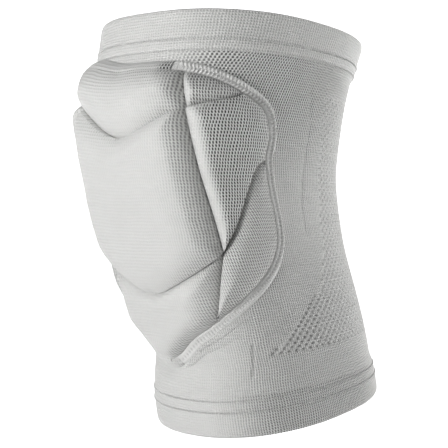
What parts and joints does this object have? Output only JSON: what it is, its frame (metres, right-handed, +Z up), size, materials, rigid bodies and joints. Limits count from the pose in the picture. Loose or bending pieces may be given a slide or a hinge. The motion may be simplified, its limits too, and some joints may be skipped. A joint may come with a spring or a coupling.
{
  "type": "volleyball knee pad",
  "caption": "Slip-on knee pad: a knitted tube with hemmed cuffs and a quilted foam pad in a raised welt over the front of the knee.",
  "frame": {"origin": "middle of the leg opening at half height, where the leg passes through it", "axes": "+Z up the leg, -Y out of the front of the knee, +X to the side seen on the right from the front"},
  "size_m": [0.1338, 0.174, 0.2174],
  "materials": {
    "knit": "white elastic knit",
    "cuff": "white doubled knit hem",
    "welt": "white stitched cord",
    "pad": "white knit over foam"
  },
  "bodies": {
    "root": {"sleeve": "knit", "top_cuff": "cuff", "bottom_cuff": "cuff", "pad_welt": "welt", "pad_top": "pad", "pad_centre": "pad", "pad_bottom": "pad", "pad_upper_right": "pad", "pad_upper_left": "pad", "pad_side_right": "pad", "pad_side_left": "pad", "pad_lower_right": "pad", "pad_lower_left": "pad"}
  },
  "joints": []
}
